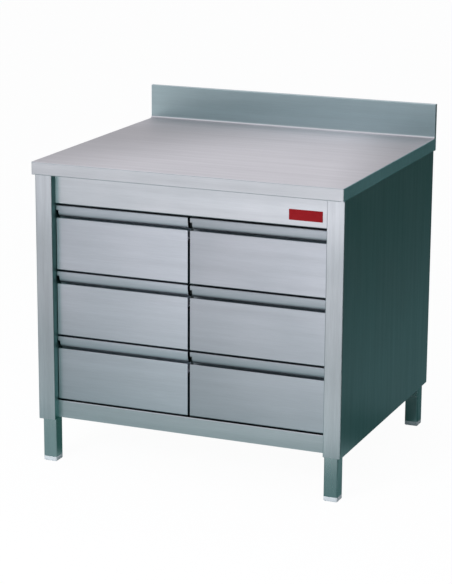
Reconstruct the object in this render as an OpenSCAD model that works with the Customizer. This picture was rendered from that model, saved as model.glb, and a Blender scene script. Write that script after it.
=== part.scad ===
// Stainless steel work table with two columns of three drawers, an upstand
// along the back and four square tube legs on height-adjustable feet.
// Front is -Y, right is +X, and Z is zero on the floor under the feet.

/* [Overall] */
// Width of the worktop
table_w = 900; // [800:10:1400]
// Depth of the worktop, over the upstand
table_d = 800; // [650:10:900]
// Height of the work surface above the floor
worktop_z = 860; // [800:5:950]

/* [Worktop] */
// Thickness of the worktop sheet
top_sheet = 1.5; // [1:0.1:2]
// Height of the turned-down lip
lip_h = 36; // [30:1:50]
// Width of the lip's inward return
lip_return = 8; // [5:1:12]
// Inner radius of the worktop's bends
top_bend = 1.5; // [1:0.5:2]
// Height of the upstand above the work surface
upstand_h = 100; // [40:5:150]
// Thickness of the upstand, front face to back face
upstand_t = 14; // [12:1:25]
// Radius of the cove between work surface and upstand
cove_r = 8; // [4:1:10]
// Thickness of the board glued under the worktop sheet
board_t = 20; // [15:1:22]
// Room between the board and the lip
board_clear = 2; // [2:0.5:5]
// Height of the stiffeners under the board
rib_h = 25; // [20:1:30]
// Width of each stiffener
rib_w = 60; // [40:5:80]
// Distance of each stiffener from the middle of the depth
rib_y = 200; // [120:10:230]
// Sheet thickness of the stiffeners
rib_sheet = 1.5; // [1:0.1:2]
// Room between a stiffener's end and the lip's return
rib_clear = 0.3; // [0.3:0.1:2]

/* [Casing] */
// Thickness of the casing sheets
case_sheet = 1.2; // [0.8:0.1:1.5]
// Inner radius of the casing's bends
case_bend = 1.8; // [1:0.2:3]
// How far the worktop stands out past the casing at each side
over_side = 2; // [2:0.5:5]
// How far the worktop stands out past the front posts
over_front = 16; // [10:1:30]
// How far the worktop stands out past the casing at the back
over_back = 12; // [8:1:30]
// Width of each front post
post_w = 50; // [45:1:60]
// How far the drawer fronts are set back from the posts
recess = 24; // [15:1:30]
// Depth of each post's inner return
jamb_d = 60; // [50:1:80]
// Width of the casing's rear flanges
rear_flange = 20; // [15:1:25]
// Height of the casing's lower edge above the floor
case_bottom_z = 125; // [90:1:180]
// Height of the fascia below the worktop's lip
fascia_h = 83.5; // [60:0.5:100]
// Height of the rail under the drawers
rail_h = 49.5; // [30:0.5:70]
// How far the rail stops above the casing's lower edge
rail_lift = 3; // [0:0.5:10]
// Depth of the flanges on the fascia and the rail
flange_d = 20; // [12:1:25]
// Height of the rail's inner flange
rail_hem = 15; // [8:1:20]
// Thickness of the centre divider
divider_t = 24; // [20:1:40]
// Room between the drawer fronts' backs and the divider
divider_set = 3; // [1:0.5:20]
// Distance from the divider's back to the back panel
divider_back = 12; // [2:1:30]
// Clearance round the legs in the floor panel
leg_clear = 0.3; // [0.2:0.1:1]

/* [Legs and feet] */
// Side of the square leg tube
leg_size = 40; // [35:1:40]
// Wall of the leg tube
leg_wall = 1.5; // [1:0.1:2]
// Outer corner radius of the leg tube
leg_corner = 4; // [3:0.5:5]
// Distance from the post's face to the front legs
leg_set_front = 8; // [4:1:15]
// Distance from the casing's back to the rear legs
leg_set_back = 14; // [6:1:30]
// Height of each foot's pad
foot_h = 13; // [8:1:20]
// Height and depth of the step round the underside of each pad
foot_step = 1.5; // [0.5:0.5:3]
// Diameter of the foot's threaded stem
stem_d = 10; // [8:1:12]
// Length of the stem
stem_l = 55; // [45:1:70]
// Depth of the stem's socket in the pad
stem_socket = 8; // [4:1:10]
// Height of the plug in each leg
plug_h = 30; // [20:1:40]
// Clearance of the plug in the tube
plug_clear = 0.2; // [0.1:0.1:0.5]
// Radial clearance of the stem in the plug
stem_clear = 0.1; // [0.05:0.05:0.3]

/* [Drawers] */
// Gap between fronts, and above and below them
row_gap = 5; // [3:0.5:8]
// Gap between the two columns of fronts
column_gap = 7; // [4:0.5:12]
// Gap between a front and the post beside it
side_gap = 2; // [1:0.5:4]
// Sheet thickness of the fronts and grips
front_sheet = 1.2; // [0.8:0.1:1.5]
// Inner radius of the fronts' bends
front_bend = 1; // [0.6:0.2:2]
// Depth of a front, outer face to the tray
front_d = 25; // [24:0.5:30]
// Height of a front's lower inner flange
front_hem = 24; // [20:1:30]
// Height of the grip above the flat front
grip_h = 34.5; // [34:0.5:45]
// Height of the grip's flat upper edge
grip_flat = 6.5; // [3:0.5:8]
// Angle at which the grip first leans back
grip_lean = 9; // [6:1:20]
// Inner radius of that first bend
grip_lean_r = 40; // [20:1:42]
// Angle to which the grip then curls back
grip_curl = 75; // [65:1:78]
// Inner radius of the curl
grip_r = 15; // [12:1:23]
// Length of the straight lean between the grip's two bends
grip_lean_l = 6.5; // [0:0.5:8]
// Width of the relief cut at the left end of each grip
relief_w = 5.5; // [3:0.5:8]
// Depth of the relief cut, front to back
relief_d = 18; // [12:1:20]
// Distance from the grip's top to the relief cut
relief_top = 12.5; // [10:0.5:18]
// Depth of the finger pocket below the flat front's edge
pocket_d = 26; // [18:1:35]
// Gap inside the hem along the flat front's edge
hem_gap = 0.8; // [0.8:0.1:2]
// Inner radius of the hem
hem_bend = 0.35; // [0.2:0.05:0.35]
// Length of the hem
hem_l = 11; // [6:1:15]
// Height of the flange that fixes the grip to the front
grip_foot = 10; // [6:1:14]
// Sheet thickness of the tray
tray_sheet = 1; // [0.8:0.1:1.5]
// Inner radius of the tray's bends
tray_bend = 1.5; // [1:0.5:3]
// Height of the hem round the tray's rim
tray_hem = 8; // [5:1:12]
// Length of the tray
tray_l = 610; // [480:10:620]
// Height of the tray
tray_h = 130; // [100:1:135]
// Height of the tray's underside above the front's lower edge
tray_lift = 12; // [8:1:20]

/* [Slides] */
// Length of the slides
slide_l = 600; // [450:10:620]
// Height of the outer member
slide_h = 45; // [40:1:50]
// Thickness of a closed slide
slide_t = 12.7; // [12.7:0.1:15]
// Sheet thickness of the slide members
slide_sheet = 1.2; // [1:0.1:1.2]
// Running gap between slide members
slide_gap = 0.4; // [0.3:0.05:0.5]
// Height of the outer member's inturned lips
slide_lip = 4.5; // [3:0.5:5]
// Width of the outer member
slide_outer_t = 9.5; // [9:0.1:10.5]
// Height of the drawer member's boss
slide_boss = 28; // [20:1:28]
// Distance from the tray's front to the slides
slide_set = 5; // [2:1:20]
// Height of the slides' middle above the tray's underside
slide_mid = 60; // [30:1:80]

/* [Name plate] */
// Width of the plain plate on the fascia
plate_w = 94; // [60:1:140]
// Height of the plate
plate_h = 29; // [20:1:50]
// Thickness of the plate
plate_t = 1; // [0.5:0.1:2]
// Corner radius of the plate
plate_corner = 1.5; // [0.5:0.5:5]
// Distance from the plate to the right post
plate_x = 19; // [5:1:60]
// Distance from the plate to the fascia's lower edge
plate_z = 16; // [10:1:40]

/* [Hidden] */
$fn = 48;
COLUMNS = ["left", "right"];
ROWS = ["upper", "middle", "lower"];
CORNERS = ["front_left", "front_right", "rear_left", "rear_right"];
DRAWER_PARTS = ["front", "grip", "tray", "runners", "slides"];
DRAWERS = [for (r = ROWS, c = COLUMNS) str(r, "_", c)];

half_w = table_w / 2;
half_d = table_d / 2;
lip_z = worktop_z - lip_h;
board_z = worktop_z - top_sheet - board_t;
rib_z = board_z - rib_h;
upstand_y = half_d - upstand_t;
corner_r = top_bend + top_sheet;

case_x = half_w - over_side;
post_y = over_front - half_d;
case_back_y = half_d - over_back;
back_panel_y = case_back_y - 2 * case_sheet;
front_y = post_y + recess;
jamb_x = case_x - post_w;
jamb_end_y = post_y + jamb_d;
rail_z = case_bottom_z + rail_lift;
floor_z = rail_z + case_sheet;
opening_top = lip_z - fascia_h;
opening_bottom = rail_z + rail_h;
tray_y = front_y + front_d;
divider_y = tray_y + divider_set;
divider_back_y = back_panel_y - divider_back;

leg_x = jamb_x + case_sheet;
leg_front_y = post_y + leg_set_front;
leg_back_y = case_back_y - leg_set_back;
leg_spots = [
    [-leg_x - leg_size, leg_front_y],
    [leg_x, leg_front_y],
    [-leg_x - leg_size, leg_back_y - leg_size],
    [leg_x, leg_back_y - leg_size]
];

front_w = jamb_x - side_gap - column_gap / 2;
front_h = (opening_top - opening_bottom - (len(ROWS) + 1) * row_gap) / len(ROWS);
skin_h = front_h - grip_h;
tray_x0 = divider_t / 2 + slide_t;
tray_x1 = jamb_x - slide_t;
middle_x0 = slide_sheet + slide_gap;
middle_x1 = slide_outer_t - slide_sheet - slide_gap;
middle_h = slide_h / 2 - slide_sheet - slide_gap;
slide_y = tray_y + slide_set;
cut = 1;

function front_z(row) = opening_top - (row + 1) * (front_h + row_gap);

// A bend of a sheet: the points of one face's arc round the corner at b,
// for a sheet that lies on the right of the path a, b, c.
function left_normal(a, b) = let(d = (b - a) / norm(b - a)) [-d.y, d.x];
function turn(n1, n2) = atan2(n1.x * n2.y - n1.y * n2.x, n1 * n2);
function bend_points(a, b, c, inner, sheet, face) =
    let(
        n1 = left_normal(a, b),
        n2 = left_normal(b, c),
        angle = turn(n1, n2),
        s = sign(angle),
        path_r = inner + (s > 0 ? 0 : sheet),
        face_r = path_r + s * face * sheet,
        centre = b + s * path_r * (n1 + n2) / (1 + n1 * n2),
        steps = ceil(abs(angle) / 12),
        start = atan2(n1.y, n1.x)
    )
    [for (k = [0:steps])
        let(now = start + angle * k / steps)
        centre - s * face_r * [cos(now), sin(now)]];
function face_points(path, radii, sheet, face) =
    let(last = len(path) - 1)
    concat(
        [path[0] - face * sheet * left_normal(path[0], path[1])],
        [for (i = [1:last - 1])
            each bend_points(path[i - 1], path[i], path[i + 1], radii[i - 1], sheet, face)],
        [path[last] - face * sheet * left_normal(path[last - 1], path[last])]
    );
function reversed(list) = [for (i = [len(list) - 1:-1:0]) list[i]];

// Section of a folded sheet whose outer face follows the path, with the
// sheet on the path's right and one inner radius for each bend.
module folded(path, radii, sheet) {
    outer = face_points(path, radii, sheet, 0);
    inner = face_points(path, radii, sheet, 1);
    polygon(concat(outer, reversed(inner)));
}

// Extrusions of a section drawn in the two other axes
module along_x(x0, x1) {
    translate([x0, 0, 0]) rotate([90, 0, 90]) linear_extrude(x1 - x0) children();
}
module along_y(y0, y1) {
    translate([0, y1, 0]) rotate([90, 0, 0]) linear_extrude(y1 - y0) children();
}
module along_z(z0, z1) {
    translate([0, 0, z0]) linear_extrude(z1 - z0) children();
}
module block(lo, hi) {
    translate(lo) cube(hi - lo);
}
module both_sides() {
    children();
    mirror([1, 0, 0]) children();
}
module in_column(column) {
    if (column == 0) mirror([1, 0, 0]) children();
    else children();
}

// Rectangle from lo to hi; round_low and round_high say which ends in the
// second axis have rounded corners.
module round_rect(lo, hi, r, round_low = true, round_high = true) {
    size = hi - lo;
    translate([lo.x + r, lo.y]) square([size.x - 2 * r, size.y]);
    translate([lo.x, lo.y + (round_low ? r : 0)])
        square([size.x, size.y - (round_low ? r : 0) - (round_high ? r : 0)]);
    for (x = [lo.x + r, hi.x - r]) {
        if (round_low) translate([x, lo.y + r]) circle(r);
        if (round_high) translate([x, hi.y - r]) circle(r);
    }
}

// One folded sheet makes the lip, the work surface, the cove and the upstand.
// The side lips and the upstand's ends are welded on and ground smooth.
module worktop_sheets() {
    along_x(-half_w, half_w)
        folded(
            [
                [lip_return - half_d, lip_z],
                [-half_d, lip_z],
                [-half_d, worktop_z],
                [upstand_y, worktop_z],
                [upstand_y, worktop_z + upstand_h],
                [half_d, worktop_z + upstand_h],
                [half_d, lip_z]
            ],
            [top_bend, top_bend, cove_r, top_bend, top_bend], top_sheet
        );
    both_sides() {
        along_y(-half_d, half_d)
            folded(
                [
                    [lip_return - half_w, lip_z],
                    [-half_w, lip_z],
                    [-half_w, worktop_z],
                    [lip_return - half_w, worktop_z]
                ],
                [top_bend, top_bend], top_sheet
            );
        block(
            [half_w - top_sheet, upstand_y, lip_z],
            [half_w, half_d, worktop_z + upstand_h]
        );
    }
}
module worktop() {
    color("silver")
        intersection() {
            worktop_sheets();
            union() {
                intersection() {
                    along_y(-half_d, half_d)
                        round_rect([-half_w, lip_z], [half_w, worktop_z], corner_r, false, true);
                    along_z(lip_z, worktop_z)
                        round_rect([-half_w, -half_d], [half_w, half_d], corner_r, true, false);
                }
                block(
                    [-half_w, upstand_y - cove_r, lip_z],
                    [half_w, half_d, worktop_z + upstand_h]
                );
            }
        }
}
module worktop_board() {
    inset = top_sheet + board_clear;
    color("burlywood")
        block(
            [inset - half_w, inset - half_d, board_z],
            [half_w - inset, upstand_y - cove_r - board_clear, board_z + board_t]
        );
}
module worktop_ribs() {
    end_x = half_w - lip_return - rib_clear;
    color("silver")
        for (y = [-rib_y, rib_y])
            along_x(-end_x, end_x)
                folded(
                    [
                        [y - rib_w / 2, rib_z],
                        [y - rib_w / 2, board_z],
                        [y + rib_w / 2, board_z],
                        [y + rib_w / 2, rib_z]
                    ],
                    [top_bend, top_bend], rib_sheet
                );
}

module fascia() {
    color("silver")
        along_x(-jamb_x, jamb_x)
            folded(
                [
                    [front_y + flange_d, opening_top],
                    [front_y, opening_top],
                    [front_y, board_z],
                    [front_y + flange_d, board_z]
                ],
                [case_bend, case_bend], case_sheet
            );
}
module name_plate() {
    right = jamb_x - plate_x;
    low = opening_top + plate_z;
    color("firebrick")
        along_y(front_y - plate_t, front_y)
            round_rect([right - plate_w, low], [right, low + plate_h], plate_corner);
}
module base_rail() {
    color("silver")
        along_x(-jamb_x, jamb_x)
            folded(
                [
                    [front_y, rail_z],
                    [front_y, opening_bottom],
                    [front_y + flange_d, opening_bottom],
                    [front_y + flange_d, opening_bottom - rail_hem]
                ],
                [case_bend, case_bend], case_sheet
            );
}

// Each side is one sheet, folded round the front leg into a post and a jamb.
module side_panel() {
    color("silver")
        along_z(case_bottom_z, lip_z)
            folded(
                [
                    [case_x - rear_flange, case_back_y],
                    [case_x, case_back_y],
                    [case_x, post_y],
                    [jamb_x, post_y],
                    [jamb_x, jamb_end_y]
                ],
                [case_bend, case_bend, case_bend], case_sheet
            );
}
module side_liner() {
    color("silver")
        block([jamb_x, jamb_end_y, floor_z], [jamb_x + case_sheet, leg_back_y, rib_z]);
}
module back_panel() {
    inner_x = case_x - case_sheet - case_bend;
    color("silver")
        block([-inner_x, back_panel_y, rail_z], [inner_x, back_panel_y + case_sheet, lip_z]);
}
module floor_panel() {
    inner_x = case_x - case_sheet;
    floor_back_y = min(back_panel_y, case_back_y - case_sheet - case_bend);
    color("silver")
        difference() {
            block([-inner_x, front_y + case_sheet, rail_z], [inner_x, floor_back_y, floor_z]);
            both_sides() {
                block(
                    [jamb_x - leg_clear, post_y, case_bottom_z],
                    [half_w, jamb_end_y + leg_clear, opening_bottom]
                );
                block(
                    [leg_x - leg_clear, leg_back_y - leg_size - leg_clear, case_bottom_z],
                    [leg_x + leg_size + leg_clear, leg_back_y + leg_clear, opening_bottom]
                );
            }
        }
}
module centre_divider() {
    color("silver")
        along_z(floor_z, rib_z)
            difference() {
                round_rect(
                    [-divider_t / 2, divider_y], [divider_t / 2, divider_back_y],
                    case_bend + case_sheet
                );
                round_rect(
                    [case_sheet - divider_t / 2, divider_y + case_sheet],
                    [divider_t / 2 - case_sheet, divider_back_y - case_sheet],
                    case_bend
                );
            }
}

// Legs, with a threaded plug in each and a foot that screws into it
module leg(spot) {
    inner_r = leg_corner - leg_wall;
    wall = [leg_wall, leg_wall];
    side = [leg_size, leg_size];
    color("silver")
        along_z(foot_h, board_z)
            difference() {
                round_rect(spot, spot + side, leg_corner);
                round_rect(spot + wall, spot + side - wall, inner_r);
            }
}
module leg_plugs() {
    inset = leg_wall + plug_clear;
    color("dimgray")
        for (spot = leg_spots)
            along_z(foot_h, foot_h + plug_h)
                difference() {
                    round_rect(
                        spot + [inset, inset],
                        spot + [leg_size - inset, leg_size - inset],
                        leg_corner - leg_wall
                    );
                    translate(spot + [leg_size, leg_size] / 2) circle(stem_d / 2 + stem_clear);
                }
}
module foot(spot) {
    middle = spot + [leg_size, leg_size] / 2;
    step = [foot_step, foot_step];
    side = [leg_size, leg_size];
    color("lightsteelblue")
        difference() {
            union() {
                along_z(foot_step, foot_h) round_rect(spot, spot + side, leg_corner);
                along_z(0, foot_step) round_rect(spot + step, spot + side - step, leg_corner - foot_step / 2);
            }
            translate([middle.x, middle.y, foot_h - stem_socket])
                cylinder(h = leg_size, r = stem_d / 2 + stem_clear);
        }
}
module stem(spot) {
    middle = spot + [leg_size, leg_size] / 2;
    color("gainsboro")
        translate([middle.x, middle.y, foot_h - stem_socket])
            cylinder(h = stem_l, r = stem_d / 2);
}

// A drawer front is a flat pan below and a hollow grip strip above. Their
// outer faces lie in one plane, and fingers reach down behind the pan's hem.
module drawer_front(row, column) {
    low = front_z(row);
    high = low + skin_h;
    x0 = column_gap / 2;
    hem_y = front_y + 2 * front_sheet + hem_gap;
    color("lightgray")
        in_column(column) {
            along_x(x0, x0 + front_w)
                folded(
                    [
                        [tray_y, low + front_hem],
                        [tray_y, low],
                        [front_y, low],
                        [front_y, high],
                        [hem_y, high],
                        [hem_y, high - hem_l]
                    ],
                    [front_bend, front_bend, hem_bend, hem_bend], front_sheet
                );
            for (x = [x0, x0 + front_w - front_sheet])
                block(
                    [x, front_y + front_sheet / 2, low + front_sheet / 2],
                    [x + front_sheet, tray_y - front_sheet / 2, high - pocket_d - grip_foot]
                );
        }
}
// The grip's visible face, from its foot behind the pan to its upper return.
// Each bend's corner lies one tangent length past the end of its arc.
module grip(row, column) {
    high = front_z(row) + front_h;
    pocket_z = high - grip_h - pocket_d;
    foot_y = front_y + front_sheet;
    wall_y = tray_y - front_sheet;
    lean = [sin(grip_lean), -cos(grip_lean)];
    curl = [sin(grip_curl), -cos(grip_curl)];
    lean_t = (grip_lean_r + front_sheet) * tan(grip_lean / 2);
    curl_t = (grip_r + front_sheet) * tan((grip_curl - grip_lean) / 2);
    lean_at = [front_y, high - grip_flat - lean_t];
    curl_at = lean_at + (lean_t + grip_lean_l + curl_t) * lean;
    wall_at = curl_at + (wall_y - curl_at.x) / curl.x * curl;
    x0 = column_gap / 2;
    relief_x = column == 0 ? x0 + front_w - relief_w : x0 - cut;
    color("darkgray")
        in_column(column)
            difference() {
                along_x(x0, x0 + front_w)
                    folded(
                        [
                            [foot_y, pocket_z - grip_foot],
                            [foot_y, pocket_z],
                            [wall_y, pocket_z],
                            wall_at,
                            curl_at,
                            lean_at,
                            [front_y, high],
                            [tray_y, high]
                        ],
                        [front_bend, front_bend, front_bend, grip_r, grip_lean_r, front_bend],
                        front_sheet
                    );
                block(
                    [relief_x, front_y - cut, high - grip_h],
                    [relief_x + relief_w + cut, front_y + relief_d, high - relief_top]
                );
            }
}
// Box with its lower edges rounded
module pan(lo, hi, r) {
    intersection() {
        along_x(lo.x, hi.x) round_rect([lo.y, lo.z], [hi.y, hi.z], r, true, false);
        along_y(lo.y, hi.y) round_rect([lo.x, lo.z], [hi.x, hi.z], r, true, false);
    }
}
// The tray is folded up from one sheet, and its rim is folded in on itself.
module tray(row, column) {
    low = front_z(row) + tray_lift;
    lo = [tray_x0, tray_y, low];
    hi = [tray_x1, tray_y + tray_l, low + tray_h];
    wall = [tray_sheet, tray_sheet, 0];
    base = [0, 0, tray_sheet];
    above = [0, 0, tray_h];
    color("lightgray")
        in_column(column) {
            difference() {
                pan(lo, hi, tray_bend + tray_sheet);
                pan(lo + wall + base, hi - wall + above, tray_bend);
            }
            difference() {
                block([lo.x, lo.y, hi.z - tray_hem], hi);
                block(lo + 2 * wall, hi - 2 * wall + above);
            }
        }
}

// Telescopic slides in three members, drawn for a wall at x = 0 with the
// drawer on the +X side and the slide's middle at z = 0
module outer_member() {
    h = slide_h / 2;
    difference() {
        translate([0, -h]) square([slide_outer_t, slide_h]);
        translate([slide_sheet, slide_sheet - h])
            square([slide_outer_t - 2 * slide_sheet, slide_h - 2 * slide_sheet]);
        translate([slide_sheet, slide_lip - h])
            square([slide_outer_t, slide_h - 2 * slide_lip]);
    }
}
module middle_member() {
    difference() {
        translate([middle_x0, -middle_h]) square([middle_x1 - middle_x0, 2 * middle_h]);
        translate([middle_x0 + slide_sheet, slide_sheet - middle_h])
            square([middle_x1 - middle_x0 - 2 * slide_sheet, 2 * (middle_h - slide_sheet)]);
        translate([middle_x0 + slide_sheet, slide_lip - middle_h])
            square([middle_x1, 2 * (middle_h - slide_lip)]);
    }
}
module inner_member() {
    x0 = middle_x0 + slide_sheet + slide_gap;
    brim = middle_h - slide_sheet - slide_gap;
    boss = slide_boss / 2;
    for (side = [0, 1])
        mirror([0, side]) {
            translate([x0, boss - slide_sheet]) square([slide_sheet, brim - boss + slide_sheet]);
            translate([x0, boss - slide_sheet]) square([slide_t - x0, slide_sheet]);
        }
    translate([slide_t - slide_sheet, -boss]) square([slide_sheet, slide_boss]);
}
// A pair of one member, on the wall beside the post and on the divider
module slide_pair(row, column) {
    z = front_z(row) + tray_lift + slide_mid;
    in_column(column) {
        translate([divider_t / 2, 0, z]) along_y(slide_y, slide_y + slide_l) children();
        translate([jamb_x, 0, z])
            mirror([1, 0, 0]) along_y(slide_y, slide_y + slide_l) children();
    }
}
module cabinet_slides(column) {
    color("gray")
        for (row = [0:len(ROWS) - 1]) slide_pair(row, column) outer_member();
}
module slides(row, column) {
    color("darkgray") slide_pair(row, column) middle_member();
}
module runners(row, column) {
    color("lightgray") slide_pair(row, column) inner_member();
}

worktop();
worktop_board();
worktop_ribs();
fascia();
name_plate();
base_rail();
mirror([1, 0, 0]) side_panel();  // side_panel_left
side_panel();  // side_panel_right
mirror([1, 0, 0]) side_liner();  // side_liner_left
side_liner();  // side_liner_right
back_panel();
floor_panel();
centre_divider();
leg_plugs();
for (i = [0:len(CORNERS) - 1]) {
    leg(leg_spots[i]);
    foot(leg_spots[i]);
    stem(leg_spots[i]);
}
for (c = [0:len(COLUMNS) - 1]) {
    cabinet_slides(c);
    for (r = [0:len(ROWS) - 1]) {
        place = str(ROWS[r], "_", COLUMNS[c]);
        drawer_front(r, c);
        grip(r, c);
        tray(r, c);
        runners(r, c);
        slides(r, c);
    }
}
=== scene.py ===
import bpy
from math import atan2, pi, radians
from mathutils import Matrix, Vector


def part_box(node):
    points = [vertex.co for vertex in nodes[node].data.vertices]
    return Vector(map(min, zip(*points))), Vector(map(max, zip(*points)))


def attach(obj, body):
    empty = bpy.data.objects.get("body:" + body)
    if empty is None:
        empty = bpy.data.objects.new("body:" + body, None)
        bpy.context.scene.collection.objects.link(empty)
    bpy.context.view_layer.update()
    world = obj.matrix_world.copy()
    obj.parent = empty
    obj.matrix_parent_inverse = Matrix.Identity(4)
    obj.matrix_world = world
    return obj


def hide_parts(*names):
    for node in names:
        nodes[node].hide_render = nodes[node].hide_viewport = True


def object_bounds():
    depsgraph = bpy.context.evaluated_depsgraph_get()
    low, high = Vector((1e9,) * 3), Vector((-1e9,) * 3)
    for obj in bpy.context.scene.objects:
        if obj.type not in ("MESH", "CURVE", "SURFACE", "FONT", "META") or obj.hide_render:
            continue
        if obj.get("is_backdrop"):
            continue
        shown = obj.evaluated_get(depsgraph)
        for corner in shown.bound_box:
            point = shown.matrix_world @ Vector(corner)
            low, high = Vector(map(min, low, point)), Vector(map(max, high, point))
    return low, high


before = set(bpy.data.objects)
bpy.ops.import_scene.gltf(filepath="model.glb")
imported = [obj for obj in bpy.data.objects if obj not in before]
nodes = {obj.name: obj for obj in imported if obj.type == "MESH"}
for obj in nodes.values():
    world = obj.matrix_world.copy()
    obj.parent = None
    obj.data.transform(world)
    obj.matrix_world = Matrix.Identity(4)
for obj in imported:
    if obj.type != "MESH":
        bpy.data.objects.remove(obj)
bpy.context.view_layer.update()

# Worktop. One sheet of stainless steel, folded down at the front and the sides
# and up at the back, with its corners welded and ground. An abrasive belt runs
# along it, and leaves fine lines, broad streaks and faint clouds.
top_colour = (0.69, 0.68, 0.71)
edge_r = 0.0008
scratch_depth = 0.00003
cove_start = 0.862
cove_end = 0.872


def feed(tree, socket, value):
    if isinstance(value, bpy.types.NodeSocket):
        tree.links.new(value, socket)
    else:
        socket.default_value = value


def calc(tree, operation, *terms, kind="Math"):
    node = tree.nodes.new(f"ShaderNode{kind}")
    node.operation = operation
    for socket, term in zip(node.inputs, terms):
        feed(tree, socket, term)
    gives_vector = kind == "VectorMath" and operation != "DOT_PRODUCT"
    return node.outputs["Vector" if gives_vector else "Value"]


def split(tree, vector):
    node = tree.nodes.new("ShaderNodeSeparateXYZ")
    tree.links.new(vector, node.inputs["Vector"])
    return node.outputs


def noise(tree, vector, scale, detail=2, roughness=0.5):
    node = tree.nodes.new("ShaderNodeTexNoise")
    node.inputs["Scale"].default_value = scale
    node.inputs["Detail"].default_value = detail
    node.inputs["Roughness"].default_value = roughness
    tree.links.new(vector, node.inputs["Vector"])
    return node.outputs["Fac"]


grain = bpy.data.node_groups.new("brushed_grain", "ShaderNodeTree")
grain.interface.new_socket("Repeats", in_out="INPUT", socket_type="NodeSocketVector")
for output in ("Scratches", "Streaks", "Clouds"):
    grain.interface.new_socket(output, in_out="OUTPUT", socket_type="NodeSocketFloat")
grain_in = grain.nodes.new("NodeGroupInput")
grain_out = grain.nodes.new("NodeGroupOutput")
place = grain.nodes.new("ShaderNodeTexCoord").outputs["Object"]
stretch = grain.nodes.new("ShaderNodeMapping")
grain.links.new(place, stretch.inputs["Vector"])
grain.links.new(grain_in.outputs["Repeats"], stretch.inputs["Scale"])
along = stretch.outputs["Vector"]
grain.links.new(noise(grain, along, 0.5, 5, 0.75), grain_out.inputs["Scratches"])
grain.links.new(noise(grain, along, 0.07, 4), grain_out.inputs["Streaks"])
grain.links.new(noise(grain, place, 5), grain_out.inputs["Clouds"])

# Edges are rounded a little by folding and polished by handling.
wear = bpy.data.node_groups.new("edge_wear", "ShaderNodeTree")
wear.interface.new_socket("Radius", in_out="INPUT", socket_type="NodeSocketFloat")
wear.interface.new_socket("Edge", in_out="OUTPUT", socket_type="NodeSocketFloat")
wear.interface.new_socket("Normal", in_out="OUTPUT", socket_type="NodeSocketVector")
wear_in = wear.nodes.new("NodeGroupInput")
wear_out = wear.nodes.new("NodeGroupOutput")
rounded = wear.nodes.new("ShaderNodeBevel")
rounded.samples = 4
wear.links.new(wear_in.outputs["Radius"], rounded.inputs["Radius"])
flat = wear.nodes.new("ShaderNodeNewGeometry").outputs["Normal"]
agree = calc(wear, "DOT_PRODUCT", rounded.outputs["Normal"], flat, kind="VectorMath")
near_edge = wear.nodes.new("ShaderNodeMapRange")
near_edge.inputs["From Min"].default_value = 0.995
near_edge.inputs["From Max"].default_value = 0.85
wear.links.new(agree, near_edge.inputs["Value"])
wear.links.new(near_edge.outputs["Result"], wear_out.inputs["Edge"])
wear.links.new(rounded.outputs["Normal"], wear_out.inputs["Normal"])


def group(tree, node_group, name, value):
    node = tree.nodes.new("ShaderNodeGroup")
    node.node_tree = node_group
    node.inputs[name].default_value = value
    return node.outputs


def between(tree, factor, low, high):
    mix = tree.nodes.new("ShaderNodeMix")
    mix.data_type = "RGBA"
    tree.links.new(factor, mix.inputs["Factor"])
    for name, end in (("A", low), ("B", high)):
        is_socket = isinstance(end, bpy.types.NodeSocket)
        feed(tree, mix.inputs[name], end if is_socket else (*end, 1))
    return mix.outputs["Result"]


def ramp(tree, value, start, end, smooth=True):
    node = tree.nodes.new("ShaderNodeMapRange")
    node.interpolation_type = "SMOOTHSTEP" if smooth else "LINEAR"
    node.inputs["From Min"].default_value = start
    node.inputs["From Max"].default_value = end
    tree.links.new(value, node.inputs["Value"])
    return node.outputs["Result"]


def within(tree, *limits):
    masks = [ramp(tree, *limit) if isinstance(limit, tuple) else limit for limit in limits]
    mask = masks[0]
    for other in masks[1:]:
        mask = calc(tree, "MULTIPLY", mask, other)
    return mask


def object_place(tree):
    return tree.nodes.new("ShaderNodeTexCoord").outputs["Object"]


def weighted(tree, x_weight, y_weight):
    weights = (x_weight, y_weight, 0)
    return calc(tree, "DOT_PRODUCT", object_place(tree), weights, kind="VectorMath")


def facing(tree):
    normal = tree.nodes.new("ShaderNodeNewGeometry").outputs["Normal"]
    return split(tree, calc(tree, "ABSOLUTE", normal, kind="VectorMath"))


def times(tree, factor, colour, shade):
    node = tree.nodes.new("ShaderNodeMix")
    node.data_type = "RGBA"
    node.blend_type = "MULTIPLY"
    feed(tree, node.inputs["Factor"], factor)
    tree.links.new(colour, node.inputs["A"])
    tree.links.new(shade, node.inputs["B"])
    return node.outputs["Result"]


def shaded(tree, shader, factor, low, high):
    colour = shader.inputs["Base Color"].links[0].from_socket
    shade = between(tree, factor, low, high)
    tree.links.new(times(tree, 1, colour, shade), shader.inputs["Base Color"])


def new_finish(name):
    material = bpy.data.materials.new(name)
    material.use_nodes = True
    tree = material.node_tree
    return material, tree, tree.nodes["Principled BSDF"]


def dulled(tree, shader, value, roughness, spread=0.08):
    node = tree.nodes.new("ShaderNodeMapRange")
    node.inputs["To Min"].default_value = roughness - spread
    node.inputs["To Max"].default_value = roughness + spread
    tree.links.new(value, node.inputs["Value"])
    tree.links.new(node.outputs["Result"], shader.inputs["Roughness"])


def bumpy(tree, shader, height, strength, distance, under=None):
    node = tree.nodes.new("ShaderNodeBump")
    node.inputs["Strength"].default_value = strength
    node.inputs["Distance"].default_value = distance
    tree.links.new(height, node.inputs["Height"])
    if under:
        tree.links.new(under, node.inputs["Normal"])
    tree.links.new(node.outputs["Normal"], shader.inputs["Normal"])


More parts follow.
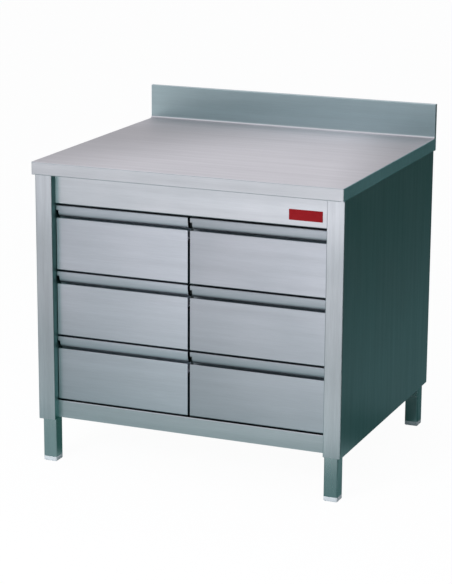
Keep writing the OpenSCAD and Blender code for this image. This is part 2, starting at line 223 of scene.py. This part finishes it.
def steel(name, colour, repeats, roughness, contrast=0.07):
    material, tree, shader = new_finish(name)
    shader.inputs["Metallic"].default_value = 1
    brushed = group(tree, grain, "Repeats", repeats)
    edges = group(tree, wear, "Radius", edge_r)
    lines = tree.nodes.new("ShaderNodeMix")
    tree.links.new(brushed["Scratches"], lines.inputs["A"])
    tree.links.new(brushed["Streaks"], lines.inputs["B"])
    dark = [c * (1 - contrast) for c in colour]
    pale = [c * (1 + contrast) for c in colour]
    polished = [min(1, c * 1.25) for c in colour]
    tint = between(tree, ramp(tree, lines.outputs["Result"], 0.35, 0.65, False), dark, pale)
    bright = between(tree, edges["Edge"], tint, polished)
    tree.links.new(bright, shader.inputs["Base Color"])
    dulled(tree, shader, brushed["Clouds"], roughness)
    bumpy(tree, shader, brushed["Scratches"], 0.25, scratch_depth, edges["Normal"])
    return material


def dress(names, material):
    for name in names:
        nodes[name].data.materials.clear()
        nodes[name].data.materials.append(material)


along_x = (30, 700, 700)
along_y = (700, 30, 700)
along_z = (700, 700, 30)
unchanged = (1, 1, 1)
top_steel = steel("worktop_steel", top_colour, along_x, 0.38, 0.06)

# Daily scouring leaves the work surface and the side lips duller than the sheet's
# other folds. The colour carries painted light and shade: the surface is painted
# palest in a band across the middle and along the back, the upstand is painted
# darker and greener, and the right lip dark green.
tree = top_steel.node_tree
shader = tree.nodes["Principled BSDF"]
turned = facing(tree)
where = split(tree, object_place(tree))
off_front = ramp(tree, turned["Y"], 0.9, 0.5)
roughness = shader.inputs["Roughness"].links[0].from_socket
scoured = calc(tree, "MULTIPLY_ADD", off_front, 0.24, roughness)
tree.links.new(scoured, shader.inputs["Roughness"])
below_upstand = ramp(tree, where["Z"], cove_end, cove_start)
on_top = within(tree, below_upstand, (turned["Z"], 0.5, 0.9))
painted_light_band = within(
    tree,
    (weighted(tree, 1, -0.5), -0.5, 0.1),
    (weighted(tree, 1, 0.25), 0.5, 0.27),
)
painted_shade_on_top = within(tree, on_top, (painted_light_band, 1, 0, False))
rear = within(tree, on_top, (where["Y"], 0.15, 0.35))
right_lip = within(tree, below_upstand, (turned["X"], 0.5, 0.9), (where["X"], 0.4, 0.41))
# Painted light in the band and along the back, painted shade elsewhere on the top.
shaded(tree, shader, painted_shade_on_top, (1.08, 1.08, 1.08), (0.73, 0.73, 0.73))
shaded(tree, shader, rear, unchanged, (1.2, 1.2, 1.2))
# Painted shade: the upstand darker and greener.
shaded(tree, shader, below_upstand, (0.74, 0.87, 0.87), unchanged)
# Painted shade: the right lip dark green.
shaded(tree, shader, right_lip, unchanged, (0.57, 0.95, 0.95))
dress(["worktop"], top_steel)

# Worktop board. Raw chipboard, glued under the sheet to keep it flat and quiet.
# Its chips are a few millimetres long, pale and brown.
board, tree, shader = new_finish("chipboard")
shader.inputs["Roughness"].default_value = 0.85
chips = tree.nodes.new("ShaderNodeTexVoronoi")
chips.inputs["Scale"].default_value = 350
tree.links.new(object_place(tree), chips.inputs["Vector"])
chip_shade = tree.nodes.new("ShaderNodeSeparateColor")
tree.links.new(chips.outputs["Color"], chip_shade.inputs["Color"])
wood = between(tree, chip_shade.outputs["Red"], (0.3, 0.19, 0.1), (0.52, 0.38, 0.23))
tree.links.new(wood, shader.inputs["Base Color"])
bumpy(tree, shader, chips.outputs["Distance"], 0.5, 0.0003)
dress(["worktop_board"], board)

# Stiffeners, liners and divider. Folded channels and sheets that carry the
# worktop and the slides. They are left as rolled, darker than the outside. The
# divider is painted near black as painted shade in the gap between the columns.
inner_steel = steel("inner_steel", (0.5, 0.53, 0.55), along_y, 0.38)
dress(["worktop_ribs", "side_liner_left", "side_liner_right"], inner_steel)
# Painted shade: the divider's near-black colour.
dress(["centre_divider"], steel("divider_steel", (0.2, 0.23, 0.24), along_y, 0.5))

# Side panels and back panel. Each side is one sheet folded round the front leg
# into a post, a jamb and a rear flange, and the back is a plain sheet riveted
# inside the flanges. The belt runs up and down.
case_colour = (0.69, 0.7, 0.735)
case_steel = steel("casing_steel", case_colour, along_z, 0.34, 0.11)
dress(["side_panel_left", "side_panel_right", "back_panel"], case_steel)

# A jamb springs back after folding and looks twelve degrees forward, into the
# green shade of the room. Its colour is painted dark green as painted shade, and
# the posts' faces are painted darker at mid-height as painted shade.
spring_back = (0, -0.21, 0)
jamb_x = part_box("side_panel_right")[0].x
tree = case_steel.node_tree
shader = tree.nodes["Principled BSDF"]
where = split(tree, object_place(tree))
on_jamb = within(
    tree,
    (calc(tree, "ABSOLUTE", where["X"]), jamb_x + 0.0004, jamb_x + 0.0002),
    (where["Y"], -0.3, -0.31),
)
normal = shader.inputs["Normal"].links[0].from_socket
sprung = calc(tree, "MULTIPLY_ADD", on_jamb, spring_back, normal, kind="VectorMath")
unit = calc(tree, "NORMALIZE", sprung, kind="VectorMath")
tree.links.new(unit, shader.inputs["Normal"])
# Painted shade: the posts' faces darker at mid-height.
wear_and_painted_shade = within(
    tree,
    (where["Z"], 0.15, 0.4),
    (where["Z"], 0.8, 0.6),
    (where["Y"], -0.376, -0.382),
)
shaded(tree, shader, wear_and_painted_shade, unchanged, (0.8, 0.81, 0.81))
# Painted shade: the jamb dark green.
shaded(tree, shader, on_jamb, unchanged, (0.36, 0.66, 0.6))

# Rivets. Eight aluminium blind rivets through the side panels' rear flanges and
# the back panel inside them. Each has a domed head and the dimple that its drawn
# mandrel leaves.
rivet_r = 0.004
rivet_h = 0.0011
rivet_inset = 0.01
rivet_levels = (0.037, 0.243)


def pick(piece, kind, chosen):
    if bpy.context.mode == "OBJECT":
        bpy.ops.object.mode_set(mode="EDIT")
    bpy.ops.mesh.select_mode(type=kind)
    bpy.ops.mesh.select_all(action="DESELECT")
    bpy.ops.object.mode_set(mode="OBJECT")
    mesh = piece.data
    for part in mesh.edges if kind == "EDGE" else mesh.polygons:
        part.select = chosen(part, [mesh.vertices[v].co for v in part.vertices])
    bpy.ops.object.mode_set(mode="EDIT")


def push(x, y, z):
    bpy.ops.mesh.extrude_region_move(TRANSFORM_OT_translate={"value": (x, y, z)})


def smooth(degrees):
    bpy.ops.object.mode_set(mode="OBJECT")
    bpy.ops.object.shade_smooth_by_angle(angle=radians(degrees))


def add_round(name, radius, depth, location, rotation=(0, 0, 0)):
    bpy.ops.object.select_all(action="DESELECT")
    bpy.ops.mesh.primitive_cylinder_add(
        vertices=24, radius=radius, depth=depth, location=location, rotation=rotation
    )
    bpy.context.object.name = name
    bpy.ops.object.transform_apply(location=True, rotation=True, scale=True)
    return bpy.context.object


def copied(piece, name, shift):
    copy = piece.copy()
    copy.name = name
    copy.data = piece.data.copy()
    copy.data.transform(Matrix.Translation(shift))
    bpy.context.collection.objects.link(copy)
    return copy


low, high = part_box("back_panel")
flange_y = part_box("side_panel_right")[1].y
levels = [low.z + up for up in rivet_levels] + [high.z - down for down in rivet_levels[::-1]]
spots = [
    Vector((x, flange_y, z)) for x in (low.x + rivet_inset, high.x - rivet_inset) for z in levels
]
head_y = flange_y + rivet_h
rivet = add_round(
    "rivet_1", rivet_r, rivet_h, spots[0] + Vector((0, rivet_h / 2, 0)), (pi / 2, 0, 0)
)
pick(rivet, "EDGE", lambda edge, ends: min(end.y for end in ends) > head_y - 1e-5)
bpy.ops.mesh.bevel(offset=rivet_h * 0.8, segments=4)
pick(rivet, "FACE", lambda face, ends: face.normal.y > 0.99)
bpy.ops.mesh.inset(thickness=rivet_r * 0.35)
push(0, -rivet_h / 2, 0)
smooth(40)
rivet.data.materials.append(steel("aluminium", (0.86, 0.87, 0.89), along_x, 0.5))
rivets = [rivet] + [
    copied(rivet, f"rivet_{number}", spot - spots[0]) for number, spot in enumerate(spots[1:], 2)
]
for each in rivets:
    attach(each, "table")

# Fascia, rail and floor. Folded strips across the front, above and below the
# drawers, and the sheet that closes the casing below, all brushed along.
rail_steel = steel("rail_steel", case_colour, along_x, 0.33)
dress(["fascia", "base_rail", "floor_panel"], rail_steel)

# Plate. A small red plate glued on the fascia, bare, with rounded corners and
# a softly rounded edge. Its lacquer has a faint orange peel.
plate_corner = 0.0012
plate_edge = 0.0005


def add_block(name, low, high):
    bpy.ops.object.select_all(action="DESELECT")
    bpy.ops.mesh.primitive_cube_add(size=1, location=(low + high) / 2)
    block = bpy.context.object
    block.name = name
    block.scale = high - low
    bpy.ops.object.transform_apply(location=True, rotation=True, scale=True)
    return block


low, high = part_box("name_plate")
plate = add_block("plate", low, high)
pick(plate, "EDGE", lambda edge, ends: abs(ends[0].y - ends[1].y) > 0.0005)
bpy.ops.mesh.bevel(offset=plate_corner, segments=5)
pick(plate, "EDGE", lambda edge, ends: max(end.y for end in ends) < low.y + 0.0001)
bpy.ops.mesh.bevel(offset=plate_edge, segments=3)
smooth(50)
lacquer, tree, shader = new_finish("red_lacquer")
shader.inputs["Roughness"].default_value = 0.45
shader.inputs["Specular IOR Level"].default_value = 0.1
place = object_place(tree)
edges = group(tree, wear, "Radius", 0.0004)
red = between(tree, noise(tree, place, 60), (0.25, 0.006, 0.01), (0.32, 0.01, 0.015))
worn = between(tree, edges["Edge"], red, (0.4, 0.04, 0.05))
tree.links.new(worn, shader.inputs["Base Color"])
bumpy(tree, shader, noise(tree, place, 600), 0.2, 0.00004)
plate.data.materials.append(lacquer)
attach(plate, "table")
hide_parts("name_plate")

# Legs. Square stainless tube, brushed along, with rounded corners. The lower
# ends stand free under the casing.
corners = ("front_left", "front_right", "rear_left", "rear_right")
leg_steel = steel("leg_steel", (0.6, 0.66, 0.675), along_z, 0.27)
dress([f"leg_{corner}" for corner in corners], leg_steel)


# Leg plugs. Black nylon, moulded with a threaded bore and pressed into each
# tube's end. Nylon from a spark-eroded mould has a fine, even texture.
def moulded(name, dark, pale, roughness):
    material, tree, shader = new_finish(name)
    place = object_place(tree)
    stain = noise(tree, place, 40)
    edges = group(tree, wear, "Radius", 0.0004)
    tint = between(tree, stain, dark, pale)
    wear_and_painted_shade = between(tree, edges["Edge"], tint, [c * 1.15 for c in pale])
    tree.links.new(wear_and_painted_shade, shader.inputs["Base Color"])
    dulled(tree, shader, stain, roughness)
    bumpy(tree, shader, noise(tree, place, 1500), 0.3, 0.00004)
    return material


dress(["leg_plugs"], moulded("black_nylon", (0.02, 0.02, 0.022), (0.035, 0.035, 0.038), 0.55))

# Foot pads. Pale plastic, moulded as wide as the leg, with a rim round a
# sunk top, a narrower tread and a hollow under it.
pad_corner = 0.004
pad_tread = 0.0015
pad_rim = 0.0035
pad_sunk = 0.001
pad_hollow = 0.0045
pad_edge = 0.0003
low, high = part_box("foot_front_left")
pad = add_block("pad_front_left", low + Vector((0, 0, pad_tread)), high)
pick(pad, "EDGE", lambda edge, ends: abs(ends[0].z - ends[1].z) > 0.001)
bpy.ops.mesh.bevel(offset=pad_corner, segments=6)
for level, faces_up, border, rise in (
    (pad_tread, False, pad_tread, -pad_tread),
    (0, False, pad_hollow, pad_sunk),
    (high.z, True, pad_rim, -pad_sunk),
):
    pick(
        pad,
        "FACE",
        lambda face, ends: abs(face.center.z - level) < 1e-5 and (face.normal.z > 0) == faces_up,
    )
    bpy.ops.mesh.inset(thickness=border)
    push(0, 0, rise)
bpy.ops.mesh.select_mode(type="EDGE")
bpy.ops.mesh.select_all(action="DESELECT")
bpy.ops.mesh.edges_select_sharp(sharpness=radians(60))
bpy.ops.mesh.bevel(offset=pad_edge, segments=2)
smooth(40)
pad.data.materials.append(moulded("pale_plastic", (0.66, 0.73, 0.76), (0.76, 0.82, 0.85), 0.5))


def at_each_foot(piece, kind, node):
    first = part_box(f"{node}_{corners[0]}")[0]
    made = [piece] + [
        copied(piece, f"{kind}_{corner}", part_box(f"{node}_{corner}")[0] - first)
        for corner in corners[1:]
    ]
    for corner, one in zip(corners, made):
        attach(one, f"foot_{corner}")
        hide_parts(f"{node}_{corner}")


at_each_foot(pad, "pad", "foot")

# Threaded stems. M10 studs of zinc-plated steel with a rolled thread, moulded
# into the pads, which screw up into the plugs.
pitch = 0.0015
thread_depth = 0.00092
lead_in = 0.0012
low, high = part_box("stem_front_left")
stud_axis = (low + high) / 2
stud = add_round("stud_front_left", (high.x - low.x) / 2, high.z - low.z, stud_axis)
for cuts in (15, 15):
    pick(stud, "EDGE", lambda edge, ends: abs(ends[0].z - ends[1].z) > 1e-6)
    bpy.ops.mesh.subdivide(number_cuts=cuts)
bpy.ops.object.mode_set(mode="OBJECT")
for vertex in stud.data.vertices:
    out = Vector((vertex.co.x - stud_axis.x, vertex.co.y - stud_axis.y, 0))
    turns = (vertex.co.z - low.z) / pitch - atan2(out.y, out.x) / (2 * pi)
    flank = min(1, max(0, 1.25 - 2.5 * abs(turns % 1 - 0.5)))
    end = min(vertex.co.z - low.z, high.z - vertex.co.z) / lead_in
    cut = thread_depth * max(flank, 1 - min(1, end))
    vertex.co -= out.normalized() * cut
smooth(40)
zinc = steel("zinc_plate", (0.66, 0.67, 0.68), along_y, 0.28)
stud.data.materials.append(zinc)
at_each_foot(stud, "stud", "stem")

# Slides. Telescopic, of zinc-plated strip: one member on the casing, one
# between, and one on the tray.
places = [f"{row}_{side}" for row in ("upper", "middle", "lower") for side in ("left", "right")]
dress(["cabinet_slides_left", "cabinet_slides_right"], zinc)
dress([f"{part}_{spot}" for part in ("slides", "runners") for spot in places], zinc)

# Trays. Each drawer's box, folded from one sheet with its lower edges rounded.
dress([f"tray_{spot}" for spot in places], inner_steel)

# Drawer fronts and grips. The front is a shallow pan with a hemmed upper edge,
# and the grip a hollow strip above it. Both are brushed along. Their colour is
# painted darker towards each front's left end, darker and greener on the folded
# ends, and darker over the right column, all as painted shade.
column_w = 0.4
left_end_painted_shade = 0.15
front_colour = (0.695, 0.708, 0.765)


def belted(name, roughness):
    material = steel(name, front_colour, along_x, roughness)
    tree = material.node_tree
    shader = tree.nodes["Principled BSDF"]
    across = split(tree, object_place(tree))["X"]
    # Painted shade, darker towards each front's left end.
    along_front = calc(tree, "WRAP", across, column_w, 0)
    painted_left_shade = ramp(tree, along_front, 0, column_w, False)
    shaded(tree, shader, painted_left_shade, (1 - left_end_painted_shade,) * 3, unchanged)
    # Painted shade over the right column.
    painted_shade_right_column = ramp(tree, across, -0.001, 0.001)
    shaded(tree, shader, painted_shade_right_column, unchanged, (0.88, 0.88, 0.88))
    # Painted shade on the folded ends, darker and greener.
    folded_end = ramp(tree, facing(tree)["X"], 0.6, 0.9)
    shaded(tree, shader, folded_end, unchanged, (0.3, 0.5, 0.52))
    return material


dress([f"front_{spot}" for spot in places], belted("front_steel", 0.33))
dress([f"grip_{spot}" for spot in places], belted("grip_steel", 0.45))

# Floor. Pale paper, which shows white round the table and keeps a faint shadow
# under it.
paper_light = 1.015
paper_share = 0.95


def add_sheet(name, height):
    bpy.ops.object.select_all(action="DESELECT")
    bpy.ops.mesh.primitive_plane_add(size=30, location=(0, 0, height))
    sheet = bpy.context.object
    sheet.name = name
    return sheet


floor = add_sheet("floor", 0)
floor.visible_glossy = False
paper, tree, shader = new_finish("paper")
shader.inputs["Base Color"].default_value = (0.78, 0.8, 0.83, 1)
shader.inputs["Roughness"].default_value = 0.9
glow = tree.nodes.new("ShaderNodeEmission")
glow.inputs["Strength"].default_value = paper_light
seen = tree.nodes.new("ShaderNodeLightPath").outputs["Is Camera Ray"]
whiten = tree.nodes.new("ShaderNodeMixShader")
tree.links.new(calc(tree, "MULTIPLY", seen, paper_share), whiten.inputs["Fac"])
tree.links.new(shader.outputs["BSDF"], whiten.inputs[1])
tree.links.new(glow.outputs["Emission"], whiten.inputs[2])
tree.links.new(whiten.outputs["Shader"], tree.nodes["Material Output"].inputs["Surface"])
floor.data.materials.append(paper)
floor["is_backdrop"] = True

# Mat. A glowing sheet that only reflections see, painted with the floor's light
# and shade: sea green round the table, painted shade to the right and under it,
# and painted light towards the front.
mat = add_sheet("mat", 0.001)
mat.visible_camera = False
mat.visible_shadow = False
mat.visible_diffuse = False
green, tree, shader = new_finish("sea_green")
where = split(tree, object_place(tree))
x, y = where["X"], where["Y"]
near = between(tree, ramp(tree, x, -0.5, 0.5), (0.25, 0.36, 0.365), (0.14, 0.24, 0.24))
middle = between(tree, ramp(tree, x, -0.75, 0.3), (0.38, 0.46, 0.47), (0.57, 0.64, 0.65))
shade = between(tree, ramp(tree, y, -0.6, -0.92), near, middle)
shade = between(tree, ramp(tree, y, -0.7, -3.2), shade, (0.95, 0.94, 0.97))
far_right = within(tree, (y, -2.7, -3.3), (x, -1.4, -0.75))
shade = between(tree, far_right, shade, (1.2, 1.18, 1.22))
to_right = ramp(tree, weighted(tree, 1, -0.533), -0.4, 1.3, False)
lit = between(tree, to_right, (0.9, 0.9, 0.9), (1.2, 1.2, 1.2))
shade = times(tree, ramp(tree, y, -0.5, -0.9), shade, lit)
for darker, *limits in (
    ((0.02, 0.07, 0.066), (weighted(tree, 1, 0.45), -0.45, -0.05), (y, -0.95, -1.3)),
    ((0.08, 0.16, 0.16), (x, 0.43, 0.46), (x, 0.56, 0.49)),
    ((0.02, 0.068, 0.064), (x, 0.6, 0.68), (y, -0.9, -0.3)),
    ((0.02, 0.068, 0.064), (x, 0.42, 0.46), (y, 0.02, 0.1), (y, 0.6, 0.4)),
    ((0.06, 0.13, 0.13), (x, 0.5, 0.7), (y, 0.3, 0.9)),
    ((0.05, 0.11, 0.11), (x, 0.42, 0.46), (y, 0.38, 0.44)),
    ((0.012, 0.045, 0.04), (x, 0.75, 1.7), (y, -1.2, 0.4)),
):
    shade = between(tree, within(tree, *limits), shade, darker)
# Painted shade of the floor under the table and round the legs.
under = between(tree, ramp(tree, x, -0.2, 0.3), (0.04, 0.11, 0.1), (0.008, 0.036, 0.033))
beneath = within(tree, (x, -0.46, -0.38), (x, 0.44, 0.4), (y, -0.4, -0.25), (y, 0.42, 0.36))
shade = between(tree, beneath, shade, under)
glow = tree.nodes.new("ShaderNodeEmission")
tree.links.new(shade, glow.inputs["Color"])
tree.links.new(glow.outputs["Emission"], tree.nodes["Material Output"].inputs["Surface"])
mat.data.materials.append(green)
mat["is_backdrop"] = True

# Room. What the steel mirrors higher up: a pale wall at the back, grey at its
# left end, a dark teal wall in front, dark green cloth on the right and a pale
# ceiling. The camera sees white all round.
world = bpy.data.worlds.new("studio")
bpy.context.scene.world = world
world.use_nodes = True
room = world.node_tree
background = room.nodes["Background"]
heading = split(room, room.nodes.new("ShaderNodeTexCoord").outputs["Generated"])
x, y, z = heading["X"], heading["Y"], heading["Z"]
path = room.nodes.new("ShaderNodeLightPath")
by_camera = path.outputs["Is Camera Ray"]
back_wall = between(room, ramp(room, x, -0.56, -0.32), (0.42, 0.44, 0.45), (0.91, 0.9, 0.92))
leftward = ramp(room, x, -0.7, -0.2, False)
front_wall = between(room, leftward, (0.12, 0.24, 0.25), (0.28, 0.44, 0.46))
shade = between(room, ramp(room, y, 0.3, -0.3), back_wall, front_wall)
shade = between(room, ramp(room, x, 0.05, 0.35), shade, (0.011, 0.04, 0.036))
shade = between(room, ramp(room, z, 0.3, 0.75), shade, (0.95, 0.93, 0.96))
shade = between(room, by_camera, shade, (1, 1, 1))
room.links.new(shade, background.inputs["Color"])
level = room.nodes.new("ShaderNodeMapRange")
level.inputs["To Min"].default_value = 0.62
shown = calc(room, "MAXIMUM", by_camera, path.outputs["Is Glossy Ray"])
room.links.new(shown, level.inputs["Value"])
room.links.new(level.outputs["Result"], background.inputs["Strength"])

# Lamp. A large soft box over the camera's left shoulder.
bpy.ops.object.light_add(type="AREA", location=(-0.9, -5.0, 3.0))
key = bpy.context.object
key.rotation_euler = Vector((0.9, 0.6, -3.0)).to_track_quat("-Z", "Y").to_euler()
key.data.shape = "RECTANGLE"
key.data.size = 3
key.data.size_y = 2
key.data.energy = 260
key.data.color = (1, 0.95, 0.97)
key.visible_glossy = False

# Camera. It stands six metres off on the table's right, a little above it, and
# looks through a long lens.
view_azimuth = radians(22.52)
view_elevation = radians(14.48)
view_roll = radians(0.32)
view_centre = Vector((-0.041, 0, 0.442))
view_distance = 5.88
turn = (
    Matrix.Rotation(view_azimuth, 3, "Z")
    @ Matrix.Rotation(pi / 2 - view_elevation, 3, "X")
    @ Matrix.Rotation(view_roll, 3, "Z")
)
bpy.ops.object.camera_add(
    location=view_centre + view_distance * (turn @ Vector((0, 0, 1))),
    rotation=turn.to_euler(),
)
camera = bpy.context.object
camera.data.lens = 126.5
camera.data.sensor_width = 36
bpy.context.scene.camera = camera
bpy.context.scene.view_settings.view_transform = "Standard"

low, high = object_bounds()
